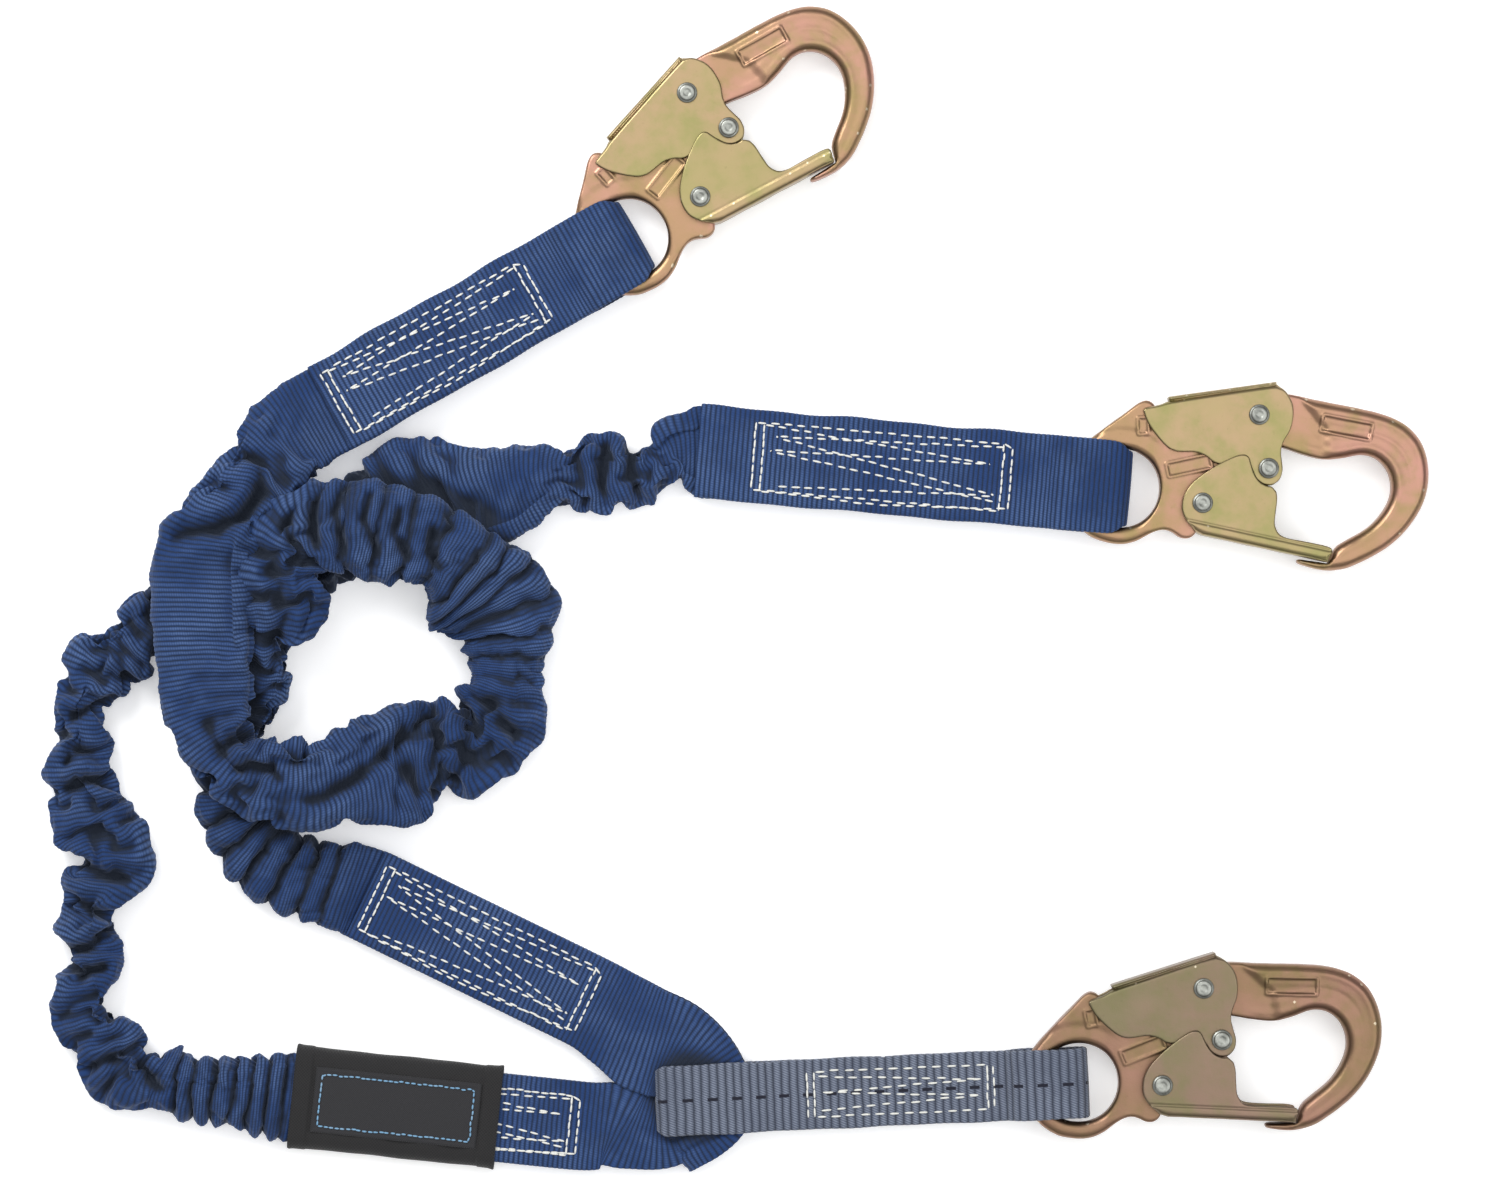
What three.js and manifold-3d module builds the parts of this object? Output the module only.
// Shock absorbing lanyard: a twin-leg fall-arrest lanyard laid flat.
// Two legs of tubular webbing, each gathered over an absorber core, are linked to one short strap.
// Each leg and the strap end in a double-locking snap hook.
// Millimetres, +Z up. The object lies on Z = 0 and the origin is the middle of its footprint.
import * as THREE from "three";
import { mergeVertices } from "three/addons/utils/BufferGeometryUtils.js";
import Module from "manifold-3d";

const wasm = await Module();
wasm.setup();

// ---------------------------------------------------------------- driving dimensions
// "Half" sizes are measured from a middle line or plane.
const LAY_SHIFT = [-1.585, -0.134]; // puts the middle of the footprint on the origin
const HOOK_Z = 10.4; // height of every hook's middle plane: it lies on its rivet heads

const PLY = 2.2; // one ply of webbing
const PLY_LIFT = 1.3; // centre of each ply from their middle where two lie together
const TAB_HALF = 18; // half width of the full-width tabs
const STRAP_HALF = 27 / 2; // half width of the strap
const STRAP_LEVEL = -0.5; // middle of the strap from the hook's middle plane
const JACKET_WALL = 1.6;

// The three hooks: centre of the eye, then the headings of the hook and of its webbing,
// in degrees anticlockwise from +X.
const ENDS = {
  a: { eye: [-40.9, 136.0], hook: 30.3, web: 29.74 },
  b: { eye: [148.2, 40.0], hook: -9.8, web: -5.0 },
  h: { eye: [132.3, -188.7], hook: -0.2, web: 2.57 },
};

// ---------------------------------------------------------------- materials
const finish = (options) => new THREE.MeshStandardMaterial(options);
const MAT = {
  webbing: finish({ color: 0x1f3f86, roughness: 0.85, metalness: 0 }),
  strap: finish({ color: 0x55688f, roughness: 0.85, metalness: 0 }),
  thread: finish({ color: 0xe8e8e2, roughness: 0.8, metalness: 0 }),
  forged: finish({ color: 0xb98a63, roughness: 0.38, metalness: 0.9 }),
  plated: finish({ color: 0xa8986a, roughness: 0.35, metalness: 0.9 }),
  rivet: finish({ color: 0xb4b4ae, roughness: 0.3, metalness: 1 }),
  spring: finish({ color: 0x8f9092, roughness: 0.35, metalness: 1 }),
  core: finish({ color: 0xd9c26a, roughness: 0.8, metalness: 0 }),
  elastic: finish({ color: 0x2b2b2e, roughness: 0.7, metalness: 0 }),
  label: finish({ color: 0x17171a, roughness: 0.9, metalness: 0 }),
  patch: finish({ color: 0x26262a, roughness: 0.85, metalness: 0 }),
};

// ---------------------------------------------------------------- solids and meshes
const rad = THREE.MathUtils.degToRad;
const v3 = (x, y, z) => new THREE.Vector3(x, y, z);
const leftOf = (heading) => v3(-heading.y, heading.x, 0);
const shifted = (centre, side, across, up, rise) =>
  centre.clone().addScaledVector(side, across).addScaledVector(up, rise);

// A closed geometry as a solid whose faces point out.
function solid(geometry) {
  const loose = geometry.index ? geometry.toNonIndexed() : geometry;
  loose.deleteAttribute("normal");
  loose.deleteAttribute("uv");
  const merged = mergeVertices(loose, 1e-4);
  const vertProperties = new Float32Array(merged.attributes.position.array);
  const triVerts = new Uint32Array(merged.index.array);
  const build = () =>
    new wasm.Manifold(new wasm.Mesh({ numProp: 3, vertProperties, triVerts }));
  const made = build();
  if (made.volume() >= 0) return made;
  for (let i = 0; i < triVerts.length; i += 3) {
    [triVerts[i + 1], triVerts[i + 2]] = [triVerts[i + 2], triVerts[i + 1]];
  }
  return build();
}

function mesh(name, body, material) {
  const { vertProperties, triVerts } = body.getMesh();
  const geometry = new THREE.BufferGeometry();
  geometry.setAttribute("position", new THREE.BufferAttribute(new Float32Array(vertProperties), 3));
  geometry.setIndex(new THREE.BufferAttribute(new Uint32Array(triVerts), 1));
  geometry.computeVertexNormals();
  const made = new THREE.Mesh(geometry, material);
  made.name = name;
  return made;
}

// A flat plate between two heights, with round holes [x, y, radius].
function plate(outline, z0, z1, holes = [], holeSegments = 20) {
  const shape = new THREE.Shape(outline.map(([x, y]) => new THREE.Vector2(x, y)));
  for (const [x, y, radius] of holes) {
    const rim = [];
    for (let i = 0; i < holeSegments; i++) {
      const angle = (-2 * Math.PI * i) / holeSegments;
      rim.push(new THREE.Vector2(x + radius * Math.cos(angle), y + radius * Math.sin(angle)));
    }
    shape.holes.push(new THREE.Path(rim));
  }
  const geometry = new THREE.ExtrudeGeometry(shape, { depth: z1 - z0, bevelEnabled: false });
  geometry.translate(0, 0, z0);
  return solid(geometry);
}

function disc([x, y], radius, z0, z1, segments) {
  const geometry = new THREE.CylinderGeometry(radius, radius, z1 - z0, segments);
  geometry.rotateX(Math.PI / 2);
  geometry.translate(x, y, (z0 + z1) / 2);
  return solid(geometry);
}

// A box with one long side between two plan points. It lies on the left of that line,
// or on the right if the thickness is negative.
function strip(from, to, thickness, z0, z1) {
  const dx = to[0] - from[0];
  const dy = to[1] - from[1];
  const length = Math.hypot(dx, dy);
  const geometry = new THREE.BoxGeometry(length, Math.abs(thickness), z1 - z0);
  geometry.translate(length / 2, thickness / 2, (z0 + z1) / 2);
  geometry.rotateZ(Math.atan2(dy, dx));
  geometry.translate(from[0], from[1], 0);
  return solid(geometry);
}

// A skin through equal rings of points, with flat ends.
// With an inner set of rings it is an open-ended tube.
function loft(rings, inner) {
  const size = rings[0].length;
  const last = rings.length - 1;
  const positions = [...rings, ...(inner || [])].flat().flatMap((p) => [p.x, p.y, p.z]);
  const index = [];
  const at = (i, j) => i * size + (j % size);
  for (let i = 0; i < last; i++) {
    for (let j = 0; j < size; j++) {
      index.push(at(i, j), at(i, j + 1), at(i + 1, j + 1));
      index.push(at(i, j), at(i + 1, j + 1), at(i + 1, j));
    }
  }
  if (inner) {
    const within = (i, j) => rings.length * size + at(i, j);
    for (let i = 0; i < last; i++) {
      for (let j = 0; j < size; j++) {
        index.push(within(i, j), within(i + 1, j + 1), within(i, j + 1));
        index.push(within(i, j), within(i + 1, j), within(i + 1, j + 1));
      }
    }
    for (let j = 0; j < size; j++) {
      index.push(at(0, j), within(0, j), within(0, j + 1));
      index.push(at(0, j), within(0, j + 1), at(0, j + 1));
      index.push(at(last, j), at(last, j + 1), within(last, j + 1));
      index.push(at(last, j), within(last, j + 1), within(last, j));
    }
  } else {
    for (let j = 1; j + 1 < size; j++) {
      index.push(at(0, 0), at(0, j + 1), at(0, j));
      index.push(at(last, 0), at(last, j), at(last, j + 1));
    }
  }
  const geometry = new THREE.BufferGeometry();
  geometry.setAttribute("position", new THREE.BufferAttribute(new Float32Array(positions), 3));
  geometry.setIndex(index);
  return solid(geometry);
}

// ---------------------------------------------------------------- snap hook
// In the hook's frame the eye's centre is the origin, the nose end lies towards +X
// and the spine on the +Y side.
const EYE_R = 15.2;
const PLATE_HALF = 4.6; // half thickness of the forged plate
const NOSE_HALF = 5.4; // half thickness of the heavier nose end
const NOSE_X = 72; // where the nose end starts
const SHEET = 1.6; // sheet thickness of the gate and the lever
const LEVER_IN = 5.0; // inner face of the lever's cheeks, from the middle plane
const LEVER_OUT = LEVER_IN + SHEET;
const GATE_IN = 7.0; // the gate's cheeks lie outside the lever's
const GATE_OUT = GATE_IN + SHEET;
const GATE_PIN = [31.7, -0.4];
const LOCK_PIN = [47.5, 36.7];
const CATCH_PIN = [54.5, 17.0];
const PIN_R = 2.5;
const PIN_RUN = 0.35; // running clearance round pins
const HEAD_R = 3.9;
const HEAD_GAP = 0.3; // from a cheek to the pin head over it
const LOCK_HEAD_Z = 8.4; // outer faces of the pin heads, from the middle plane
const CATCH_HEAD_Z = 9.4;
const GATE_OPEN = 24; // degrees
const LEVER_OPEN = 20; // degrees, in step with the gate
const GATE_END_R = 53.2; // the gate's free end is an arc about its pivot
const NOTCH_R = GATE_END_R + 0.7; // and so is the notch in the nose
const NOTCH = { x0: 70, x1: 110, y0: -15.1, width: 14 };
const POCKET = { radius: 6.3, floor: 2.4, top: 6 };
const CATCH_SWEEP = { radius: 4.6, steps: 8 };
const THROUGH = 20; // half height of a tool that spans the whole hook
const SHEET_HOLE_SEGMENTS = 14;
const WIRE_R = 0.45;
const WIRE_SIDES = 5;

// Outlines are [x, y] points.
// Forged body, from the eye's lowest point round the throat and back over the spine.
const BODY_OUTLINE = [
  [2.9, -21.8], [9.1, -19.5], [13.5, -15.8], [17, -13.5], [20, -12.7], [22.8, -13.4],
  [25.5, -14.9], [28.2, -15.1], [30.5, -13.8], [31.6, -11.5], [32.5, -9.4], [36, -7.6],
  [39.2, -4.2], [40.2, 0], [41, 8], [43, 16], [46, 24], [50, 27.5], [55, 26.5], [63.8, 25.1],
  [69.8, 24.2], [75.7, 24.0], [81.3, 25.4], [86.8, 27.7], [90.9, 28.6], [95.4, 27.8],
  [99.4, 25.0], [102.0, 20.7], [103.0, 15.1], [101.7, 9.4], [98.4, 3.3], [93.8, -1.4],
  [88.6, -5.4], [85.9, -7.6], [84.0, -11], [82.0, -15.15], [72.5, -15.15], [71.3, -16.0],
  [71.9, -17.1], [76.3, -17.7], [81.0, -18.0], [86.0, -17.5], [91.2, -15.7], [99.2, -10.2],
  [106.0, -4.3], [110.7, 2.0], [114.2, 8.8], [116.2, 15.4], [116.4, 23.2], [114.7, 30.7],
  [111.4, 36.8], [106.7, 41.1], [100.8, 43.9], [93.5, 45.4], [81.7, 45.9], [70.0, 46.0],
  [57, 46.6], [50, 46], [44, 43.5], [38, 38], [30, 32], [20, 24.5], [13.5, 21.5], [11.2, 24],
  [10.6, 28], [8, 33.5], [4.7, 35.2], [1.8, 33.9], [-1.5, 30.4], [-8.1, 23.6], [-12.5, 19.0],
  [-15.6, 15.6], [-19.1, 11.0], [-21.3, 5.7], [-22, 0], [-21.3, -5.7], [-19.1, -11.0],
  [-15.6, -15.6], [-11.0, -19.1], [-5.7, -21.3],
];
const LEVER_OUTLINE = [
  [12.4, 36.2], [9.4, 34.0], [3.3, 31.8], [3.7, 29.9], [6.3, 25.7], [11.5, 20.7], [15.5, 17.9],
  [19.1, 17.2], [25.9, 18.5], [30.0, 17.7], [33.5, 15.5], [38.2, 15.2], [43.6, 17.7],
  [47.8, 16.1], [50.0, 12.2], [53.5, 10.4], [56.9, 10.6], [59.6, 13.4], [60.1, 17.4],
  [59.2, 20.4], [58.0, 24.9], [58.5, 28.5], [60.5, 33.1], [60.6, 39.0], [59.5, 43.1],
  [57.0, 46.5], [53.6, 48.8], [51.9, 49.5],
];
const GATE_OUTLINE = [
  [32.3, -12.9], [60.8, -14.3], [83.9, -14.8], [84.1, -10.8], [83.3, -8.6], [71.5, -8.3],
  [65.7, -8.2], [62.4, -7.2], [60.3, -4.0], [60.0, -0.2], [59.8, 5.6], [59.0, 8.6],
  [57.4, 10.5], [55.1, 10.1], [51.8, 11.3], [49.3, 14.0], [47.5, 17.6], [46.3, 20.1],
  [44.3, 20.7], [41.3, 19.6], [36.1, 16.0], [31.0, 11.6], [26.7, 7.0], [24.4, 2.6],
  [23.9, -1.7], [24.5, -5.1], [27.6, -9.3],
];
// Outer faces of the folded backs, as two plan points.
const LEVER_BACK = [[12.1, 37.6], [52.0, 50.4]];
const GATE_BACK = [[33.4, -12.6], [84.3, -14.7]];

const pinHole = (pin) => [...pin, PIN_R + PIN_RUN];

function hookBody() {
  const holes = [[0, 0, EYE_R], pinHole(GATE_PIN), pinHole(LOCK_PIN)];
  const noseRegion = strip([NOSE_X, -40], [140, -40], 100, -THROUGH, THROUGH);
  const nose = plate(BODY_OUTLINE, -NOSE_HALF, NOSE_HALF).intersect(noseRegion);
  // the gate's end sits in this notch
  const { x0, x1, y0, width } = NOTCH;
  const notch = disc(GATE_PIN, NOTCH_R, -THROUGH, THROUGH, 90).intersect(
    strip([x0, y0], [x1, y0], width, -THROUGH, THROUGH),
  );
  const springPocket = disc(LOCK_PIN, POCKET.radius, POCKET.floor, POCKET.top, 18);
  return plate(BODY_OUTLINE, -PLATE_HALF, PLATE_HALF, holes)
    .add(nose)
    .subtract(notch)
    .subtract(springPocket);
}

// Two matching cheeks either side of the middle plane.
function cheeks(outline, inner, outer, pins) {
  const holes = pins.map(pinHole);
  return plate(outline, inner, outer, holes, SHEET_HOLE_SEGMENTS).add(
    plate(outline, -outer, -inner, holes, SHEET_HOLE_SEGMENTS),
  );
}

function lockLever() {
  return cheeks(LEVER_OUTLINE, LEVER_IN, LEVER_OUT, [LOCK_PIN, CATCH_PIN]).add(
    strip(...LEVER_BACK, -SHEET, -LEVER_OUT, LEVER_OUT),
  );
}

function turnAbout([cx, cy], degrees, [x, y]) {
  const cos = Math.cos(rad(degrees));
  const sin = Math.sin(rad(degrees));
  return [cx + (x - cx) * cos - (y - cy) * sin, cy + (x - cx) * sin + (y - cy) * cos];
}

function hookGate() {
  let gate = cheeks(GATE_OUTLINE, GATE_IN, GATE_OUT, [GATE_PIN])
    .add(strip(...GATE_BACK, SHEET, -GATE_OUT, GATE_OUT))
    .intersect(disc(GATE_PIN, GATE_END_R, -THROUGH, THROUGH, 120));
  // room for the catch pin's head all the way through the motion
  for (let i = 0; i <= CATCH_SWEEP.steps; i++) {
    const opened = i / CATCH_SWEEP.steps;
    const onLever = turnAbout(LOCK_PIN, LEVER_OPEN * opened, CATCH_PIN);
    const seenFromGate = turnAbout(GATE_PIN, -GATE_OPEN * opened, onLever);
    gate = gate.subtract(disc(seenFromGate, CATCH_SWEEP.radius, -THROUGH, THROUGH, 20));
  }
  return gate;
}

// A pin with a head at each end, turned about +Z. It clears a cheek whose outer face is given.
function headedPin(at, headTop, cheek) {
  const foot = cheek + HEAD_GAP;
  const profile = [
    [0, -headTop], [HEAD_R, -headTop], [HEAD_R, -foot], [PIN_R, -foot],
    [PIN_R, foot], [HEAD_R, foot], [HEAD_R, headTop], [0, headTop],
  ];
  const geometry = new THREE.LatheGeometry(profile.map(([r, z]) => new THREE.Vector2(r, z)), 12);
  geometry.rotateX(Math.PI / 2);
  return solid(geometry).translate([...at, 0]);
}

// A coil of thin wire about +Z, with its ends led out to plan points if tails are given.
function coil([x, y], { radius, z0, z1, turns, start, tails }) {
  const path = [];
  const steps = Math.round(turns * 8);
  for (let i = 0; i <= steps; i++) {
    const angle = rad(start) + (2 * Math.PI * turns * i) / steps;
    const z = z0 + ((z1 - z0) * i) / steps;
    path.push(v3(x + radius * Math.cos(angle), y + radius * Math.sin(angle), z));
  }
  if (tails) {
    path.unshift(v3(...tails[0], z0));
    path.push(v3(...tails[1], z1));
  }
  const section = [];
  for (let i = 0; i < WIRE_SIDES; i++) {
    const angle = (2 * Math.PI * i) / WIRE_SIDES;
    section.push(new THREE.Vector2(WIRE_R * Math.cos(angle), WIRE_R * Math.sin(angle)));
  }
  const options = {
    steps: path.length + 4,
    bevelEnabled: false,
    extrudePath: new THREE.CatmullRomCurve3(path, false, "centripetal"),
  };
  return solid(new THREE.ExtrudeGeometry(new THREE.Shape(section), options));
}

// start is in degrees
const GATE_SPRING = {
  radius: 5, z0: 5.25, z1: 6.45, turns: 1.5, start: 200, tails: [[22.5, -7.5], [39.5, -5.5]],
};
const LOCK_SPRING = { radius: 4.3, z0: 2.95, z1: 4.1, turns: 1.25, start: 150 };

const HOOK_PIECES = [
  ["hook_body_", hookBody(), MAT.forged],
  ["gate_", hookGate(), MAT.plated],
  ["lock_lever_", lockLever(), MAT.plated],
  ["gate_rivet_", headedPin(GATE_PIN, HOOK_Z, GATE_OUT), MAT.rivet],
  ["lock_rivet_", headedPin(LOCK_PIN, LOCK_HEAD_Z, LEVER_OUT), MAT.rivet],
  ["catch_pin_", headedPin(CATCH_PIN, CATCH_HEAD_Z, LEVER_OUT), MAT.rivet],
  ["gate_spring_", coil(GATE_PIN, GATE_SPRING), MAT.spring],
  ["lock_spring_", coil(LOCK_PIN, LOCK_SPRING), MAT.spring],
];

// A group with its origin at a hook's eye and +X along a heading.
function eyeFrame(end, heading) {
  const group = new THREE.Group();
  group.position.set(...end.eye, HOOK_Z);
  group.rotation.z = rad(heading);
  return group;
}

function snapHook(tag) {
  const group = eyeFrame(ENDS[tag], ENDS[tag].hook);
  for (const [prefix, body, material] of HOOK_PIECES) group.add(mesh(prefix + tag, body, material));
  return group;
}

// ---------------------------------------------------------------- folded webbing
// One band that runs out at the upper height, folds round and comes back at the lower one.
// Rows: x, y, centre heights of the upper and lower plies, half width.
// turn: half widths round the fold; without it the last row's width is kept.
function folded(rows, turn) {
  const last = rows.length - 1;
  const rings = [];
  const heading = (i) => {
    const before = rows[Math.max(0, i - 1)];
    const after = rows[Math.min(last, i + 1)];
    return v3(after[0] - before[0], after[1] - before[1], 0).normalize();
  };
  const addRing = (centre, side, out, half) => {
    const corners = [[-half, -PLY / 2], [-half, PLY / 2], [half, PLY / 2], [half, -PLY / 2]];
    rings.push(corners.map(([across, rise]) => shifted(centre, side, across, out, rise)));
  };
  for (let i = 0; i <= last; i++) {
    const [x, y, upper, , half] = rows[i];
    addRing(v3(x, y, upper), leftOf(heading(i)), v3(0, 0, 1), half);
  }

  const [endX, endY, endUpper, endLower, endHalf] = rows[last];
  const ahead = heading(last);
  const radius = (endUpper - endLower) / 2;
  const middle = v3(endX, endY, (endUpper + endLower) / 2);
  const widths = turn || Array(7).fill(endHalf);
  widths.forEach((half, i) => {
    const angle = (Math.PI * (i + 1)) / (widths.length + 1);
    const out = ahead.clone().multiplyScalar(Math.sin(angle)).add(v3(0, 0, Math.cos(angle)));
    addRing(middle.clone().addScaledVector(out, radius), leftOf(ahead), out, half);
  });

  for (let i = last; i >= 0; i--) {
    const [x, y, , lower, half] = rows[i];
    addRing(v3(x, y, lower), leftOf(heading(i)), v3(0, 0, -1), half);
  }
  return loft(rings);
}

// Webbing folded through a hook's eye, in the webbing's frame: it arrives from -X.
// It narrows to pass through the eye.
function eyeLoop(name, end, { start, half, level, material }) {
  const upTo = (limit) => Math.min(half, limit);
  const rows = [
    [start, 0, level + PLY_LIFT, level - PLY_LIFT, half],
    [-26, 0, 3.4, -3.4, half],
    [-22.9, 0, 6.2, -6.2, upTo(17.5)],
    [-12, 0, 6.2, -6.2, upTo(17)],
    [-3.5, 0, 6.2, -6.2, upTo(15.5)],
  ];
  const turn = [14.4, 14.2, 14.2, 14.2, 14.2, 14.2, 14.4].map(upTo);
  const group = eyeFrame(end, end.web);
  group.add(mesh(name, folded(rows, turn), material));
  return group;
}

// ---------------------------------------------------------------- bars and stitching
const STITCH_WIDTH = 0.9;
const STITCH_HEIGHT = 0.5;
const STITCH_GAP = 0.3; // from the webbing's top face to the thread
const STITCH_SHARE = 0.74; // share of a tab's half width that the stitching covers

// The box and zigzag on a tab: share along the sewn length, share of its half width.
const TAB_STITCH = [
  [0, -1], [0, 1], [1, 1], [1, -1], [0.05, -1], [0.05, -0.62], [0.95, -0.5], [0.95, -0.28],
  [0.05, -0.16], [0.05, 0.06], [0.95, 0.18], [0.95, 0.4], [0.05, 0.52], [0.05, 0.76], [0.9, 0.8],
];

// A flat section across +X with eased corners; half and thick are half sizes.
const easedRing = (x, half, thick, ease) => [
  v3(x, -half, -thick + ease), v3(x, -half + ease, -thick),
  v3(x, half - ease, -thick), v3(x, half, -thick + ease),
  v3(x, half, thick - ease), v3(x, half - ease, thick),
  v3(x, -half + ease, thick), v3(x, -half, thick - ease),
];

// A flat bar of webbing with eased long edges, along +X from 0.
const bar = (length, half, thick, ease) =>
  loft([0, length / 2, length].map((x) => easedRing(x, half, thick, ease)));

// Sewing thread: one continuous raised run through [x, y] points, with mitred corners.
function sewing(run, z) {
  const last = run.length - 1;
  const heading = (i) => v3(run[i + 1][0] - run[i][0], run[i + 1][1] - run[i][1], 0).normalize();
  const up = v3(0, 0, 1);
  return loft(
    run.map(([x, y], i) => {
      const before = leftOf(heading(Math.max(0, i - 1)));
      const after = leftOf(heading(Math.min(last - 1, i)));
      const mitre = before.clone().add(after).normalize();
      const half = STITCH_WIDTH / 2 / mitre.dot(before);
      const corners = [[half, 0], [-half, 0], [-half, STITCH_HEIGHT], [half, STITCH_HEIGHT]];
      return corners.map(([across, rise]) => shifted(v3(x, y, z), mitre, across, up, rise));
    }),
  );
}

// A sewn tab with its stitching, along its group's +X.
function sewnTab(name, { from, to, half, thick, sewn }) {
  const along = v3(...to).sub(v3(...from));
  const length = along.length();
  const [sewnStart, sewnEnd] = sewn.map((share) => share * length);
  const run = TAB_STITCH.map(([u, v]) => [
    sewnStart + (sewnEnd - sewnStart) * u,
    v * half * STITCH_SHARE,
  ]);
  const group = new THREE.Group();
  group.position.set(...from);
  group.rotation.order = "ZYX";
  group.rotation.z = Math.atan2(along.y, along.x);
  group.rotation.y = -Math.asin(along.z / length);
  group.add(mesh(name, bar(length, half, thick, 1.2), MAT.webbing));
  group.add(mesh(name + "_stitching", sewing(run, thick + STITCH_GAP), MAT.thread));
  return group;
}

// ---------------------------------------------------------------- legs
// gathered, neck: x, y, z of the centre line, half width, half thickness.
// hookTab, lowerTab: ends of the centre line, half width, half thickness, sewn shares of length.
// link: the folded end inside the strap's loop, in the rows that folded() takes.
// *Count: number of stations along a piece.
const LEGS = {
  a: {
    hookTab: {
      from: [-67.9, 120.6, 10.4], to: [-155.4, 70.5, 15],
      half: TAB_HALF, thick: 3.4, sewn: [0.22, 0.93],
    },
    neckCount: 6,
    neck: [[-160.4, 67.7, 15.5, 17, 5], [-168.8, 63.1, 16.5, 16, 6], [-181.2, 53.8, 19, 14, 6.8]],
    jacketCount: 50,
    coreCount: 31,
    gathered: [
      [-184.2, 50.8, 20, 14, 7], [-192.3, 41.2, 23, 14, 7.5], [-200.4, 27.7, 25.5, 16, 7.5],
      [-204.2, 12.3, 26.5, 18, 7], [-204.6, -10.8, 26.5, 19, 7], [-203.1, -33.8, 26.5, 18, 7],
      [-197.3, -55.0, 26.5, 15, 7.5], [-185.8, -68.8, 26.5, 13.5, 7.5],
      [-168.1, -73.8, 25, 14, 7.5], [-148.1, -67.7, 19, 15, 7.5], [-129.6, -62.3, 13, 16, 7.5],
      [-113.5, -60.0, 10, 16, 8], [-98.1, -55.0, 9, 15, 8], [-88.8, -42.3, 9, 15, 8],
      [-86.5, -24.2, 9, 16, 8], [-89.2, -7.7, 11, 15, 8], [-98.1, 6.5, 17, 14, 8],
      [-113.5, 16.9, 24, 14, 7.5], [-132.7, 21.9, 26.5, 15, 7.5], [-151.9, 23.8, 26.5, 13, 7.5],
      [-165.8, 19.6, 26.5, 11, 7.5], [-171.9, 7.7, 26.5, 10.5, 7.5], [-171.9, -8.8, 24, 11, 7.5],
      [-174.6, -24.2, 16, 11.5, 7.5], [-180.4, -43.5, 9.3, 12, 7.5], [-189.2, -61.5, 9, 12.5, 7.5],
      [-194.2, -77.3, 9, 12, 7.5], [-189.2, -92.3, 9, 11.5, 7.5], [-175.0, -103.5, 8.5, 12, 7.5],
      [-155.8, -111.2, 7.5, 15, 6], [-145.0, -115.0, 6.5, 17, 5],
    ],
    lowerTab: {
      from: [-142.7, -116.0, 6.4], to: [-54.2, -159.2, 6.1],
      half: TAB_HALF, thick: 3.2, sewn: [0.03, 0.97],
    },
    link: [
      [-53.2, -159.7, 7.6, 4.6, 17.5], [-46.1, -163.15, 8.2, 4.0, 17.5],
      [-34.5, -168.0, 9.8, 2.4, 13.8], [-21.5, -172.5, 11.1, 1.1, 11.2],
      [-11.2, -181.0, 11.1, 1.1, 11], [-4.2, -192.3, 11.1, 1.1, 9.0],
      [-1.2, -205.0, 11.1, 1.1, 8.6], [-0.8, -212.3, 11.1, 1.1, 8.6],
    ],
  },
  b: {
    hookTab: {
      from: [117.2, 42.7, 10.4], to: [-14.6, 54.3, 8.5],
      half: TAB_HALF, thick: 3.4, sewn: [0.1, 0.84],
    },
    neckCount: 7,
    neck: [
      [-22.7, 53.8, 8.5, 15, 4.5], [-36.5, 50.0, 8.5, 12, 5.5],
      [-51.9, 46.9, 8.5, 10, 6], [-63.5, 45.0, 8.5, 11, 6],
    ],
    jacketCount: 36,
    coreCount: 25,
    gathered: [
      [-67.3, 44.2, 8.5, 12, 6.5], [-78.8, 41.5, 8.5, 15, 7], [-101.9, 33.8, 8.5, 16, 7.5],
      [-128.8, 24.6, 8.5, 16, 7.5], [-155.8, 15.0, 8.5, 15, 7.5], [-186.5, 3.5, 8.5, 14.5, 7.5],
      [-215.4, -6.2, 8.5, 13.5, 7.5], [-234.6, -18.5, 8.5, 13, 8], [-246.2, -33.8, 8.5, 13, 8],
      [-250.8, -55.0, 8.5, 14, 8], [-248.1, -78.1, 8.5, 14, 8], [-242.3, -99.2, 8.5, 13.5, 8],
      [-244.2, -120.4, 8.5, 13, 8], [-248.1, -139.6, 8.5, 13, 8], [-245.0, -160.8, 8.5, 13, 8],
      [-234.6, -178.1, 8.5, 13, 8], [-217.3, -187.7, 8.5, 14, 8], [-196.2, -190.8, 8.5, 15, 8],
      [-173.5, -193.8, 7.5, 16, 6],
    ],
    lowerTab: {
      from: [-171.2, -194.2, 6.1], to: [-56.5, -206.2, 6.1],
      half: 17, thick: 3.0, sewn: [0.72, 0.965],
    },
    link: [
      [-55.4, -206.3, 7.5, 4.7, 16], [-47.5, -207.6, 8.0, 4.2, 13.5], [-41, -214.0, 8.6, 3.6, 8],
      [-30.5, -218.2, 8.6, 3.6, 7], [-22, -218.0, 8.6, 3.6, 7], [-17, -210.5, 8.6, 3.6, 7.5],
      [-16, -200, 8.6, 3.6, 8.5], [-16, -188, 8.6, 3.6, 8.5], [-16, -177, 8.6, 3.6, 8.5],
    ],
  },
};
const TUBE_SIDES = 8;

// The two bands inside a jacket. width is a share of the leg's half width;
// lift (of the band's middle) and depth (half its thickness) are shares of its half thickness.
const ABSORBER = { width: 0.45, lift: 0.22, depth: 0.14 };
const ELASTIC = { width: 0.35, lift: -0.3, depth: 0.12 };

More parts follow.
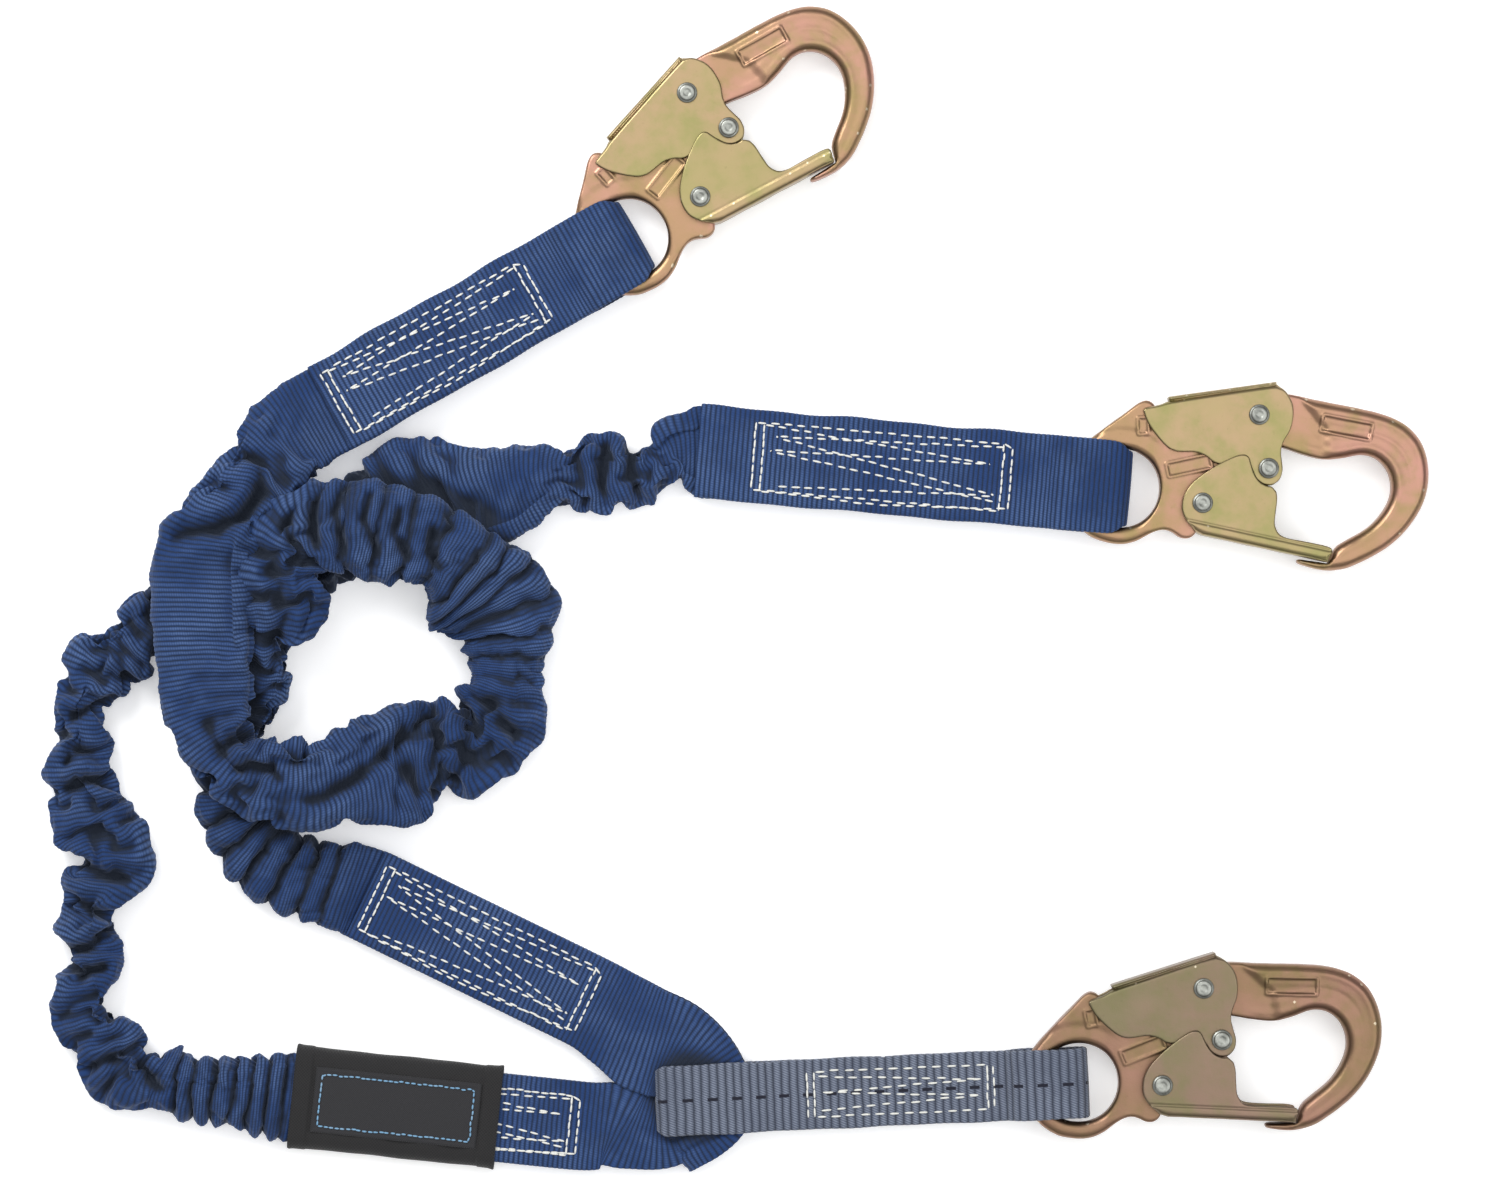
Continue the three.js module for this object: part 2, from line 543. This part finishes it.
// Stations along a leg: centre, level side vector, upward normal, half width, half thickness.
function stations(rows, count) {
  const curve = (points) => new THREE.CatmullRomCurve3(points, false, "catmullrom", 0.5);
  const line = curve(rows.map(([x, y, z]) => v3(x, y, z)));
  const sizes = curve(rows.map(([, , , half, thick]) => v3(half, thick, 0)));
  return Array.from({ length: count }, (_, i) => {
    const along = i / (count - 1);
    const ahead = line.getTangent(along);
    const side = leftOf(ahead).normalize();
    const up = ahead.clone().cross(side).normalize();
    const size = sizes.getPoint(along);
    return { centre: line.getPoint(along), side, up, half: size.x, thick: size.y };
  });
}

// A rounded section about a station, drawn in from its full size.
function roundRing({ centre, side, up, half, thick }, inset) {
  return Array.from({ length: TUBE_SIDES }, (_, i) => {
    const angle = (2 * Math.PI * (i + 0.5)) / TUBE_SIDES;
    const across = (half - inset) * Math.cos(angle);
    return shifted(centre, side, across, up, (thick - inset) * Math.sin(angle));
  });
}

function tube(rows, count) {
  const list = stations(rows, count);
  return loft(
    list.map((station) => roundRing(station, 0)),
    list.map((station) => roundRing(station, JACKET_WALL)),
  );
}

function band(rows, count, { width, lift, depth }) {
  const corners = [[-1, -1], [1, -1], [1, 1], [-1, 1]];
  return loft(
    stations(rows, count).map(({ centre, side, up, half, thick }) =>
      corners.map(([u, v]) =>
        shifted(centre, side, u * half * width, up, thick * (lift + v * depth)),
      ),
    ),
  );
}

// Adds one leg's pieces and returns its lower tab's group.
function addLeg(parent, tag) {
  const { hookTab, neck, neckCount, gathered, jacketCount, coreCount, lowerTab, link } = LEGS[tag];
  const loop = { start: -29.6, half: TAB_HALF, level: 0, material: MAT.webbing };
  const absorber = band(gathered, coreCount, ABSORBER);
  const elastic = band(gathered, coreCount, ELASTIC);
  const lowerGroup = sewnTab(`lower_tab_${tag}`, lowerTab);
  parent.add(
    eyeLoop(`eye_loop_${tag}`, ENDS[tag], loop),
    sewnTab(`hook_tab_${tag}`, hookTab),
    mesh(`neck_${tag}`, tube(neck, neckCount), MAT.webbing),
    mesh(`jacket_${tag}`, tube(gathered, jacketCount), MAT.webbing),
    mesh(`absorber_core_${tag}`, absorber, MAT.core),
    mesh(`elastic_core_${tag}`, elastic, MAT.elastic),
    lowerGroup,
    mesh(`link_loop_${tag}`, folded(link), MAT.webbing),
  );
  return lowerGroup;
}

// ---------------------------------------------------------------- label
const SLEEVE = { x0: 0.6, x1: 80.8, half: 20, thick: 5.2, wall: 1.1, ease: 1.6, innerEase: 0.9 };
const PATCH = { inset: 7, half: 13, gap: 0.3, thickness: 0.6 };

// A sleeve round a tab, in the tab's frame.
function labelSleeve() {
  const { half, thick, wall, ease, innerEase } = SLEEVE;
  const ends = [SLEEVE.x0, SLEEVE.x1];
  const outer = ends.map((x) => easedRing(x, half, thick, ease));
  const inner = ends.map((x) => easedRing(x, half - wall, thick - wall, innerEase));
  return mesh("label_sleeve", loft(outer, inner), MAT.label);
}

// The blank patch over the sleeve's top face.
function labelPatch() {
  const { inset, half, gap, thickness } = PATCH;
  const from = [SLEEVE.x0 + inset, -half];
  const to = [SLEEVE.x1 - inset, -half];
  const base = SLEEVE.thick + gap;
  return mesh("label_patch", strip(from, to, 2 * half, base, base + thickness), MAT.patch);
}

// ---------------------------------------------------------------- strap
// In the frame of its own heading, from the harness hook's eye.
const STRAP = { start: -116, length: 86.8, thick: 2.4, ease: 0.7 };
const STRAP_LINK = [
  [-117.2, 0, STRAP_LEVEL + PLY_LIFT, STRAP_LEVEL - PLY_LIFT, STRAP_HALF],
  [-123.2, 0, 3.2, -4.3, STRAP_HALF],
  [-140, 0, 3.2, -4.3, STRAP_HALF],
  [-158.35, 0, 3.2, -4.3, STRAP_HALF],
];
const ZIGZAG = { lead: 13, start: 16, half: 8.5, step: 4, count: 8 };

function strapStitching() {
  const { lead, start, half, step, count } = ZIGZAG;
  const run = [[lead, -half], [lead, half], [start, half]];
  for (let i = 0; i < count; i++) {
    const x = start + step + i * 2 * step;
    const y = i % 2 ? half : -half;
    run.push([x, y], [x + step, y]);
  }
  return mesh("strap_stitching", sewing(run, STRAP.thick + STITCH_GAP), MAT.thread);
}

function strap() {
  const middle = new THREE.Group();
  middle.position.set(STRAP.start, 0, STRAP_LEVEL);
  const body = bar(STRAP.length, STRAP_HALF, STRAP.thick, STRAP.ease);
  middle.add(mesh("strap_middle", body, MAT.strap), strapStitching());
  const group = eyeFrame(ENDS.h, ENDS.h.web);
  group.add(mesh("strap_link_loop", folded(STRAP_LINK), MAT.strap), middle);
  return group;
}

// ---------------------------------------------------------------- assembly
const lanyard = new THREE.Group();
lanyard.name = "shock_absorbing_lanyard";
const lay = new THREE.Group();
lay.position.set(...LAY_SHIFT, 0);
lanyard.add(lay);

for (const tag of Object.keys(ENDS)) lay.add(snapHook(tag));
addLeg(lay, "a");
const lowerTabB = addLeg(lay, "b");
lowerTabB.add(labelSleeve(), labelPatch());
lay.add(strap());
const strapLoop = { start: -27.6, half: STRAP_HALF, level: STRAP_LEVEL, material: MAT.strap };
lay.add(eyeLoop("strap_eye_loop", ENDS.h, strapLoop));

export default lanyard;
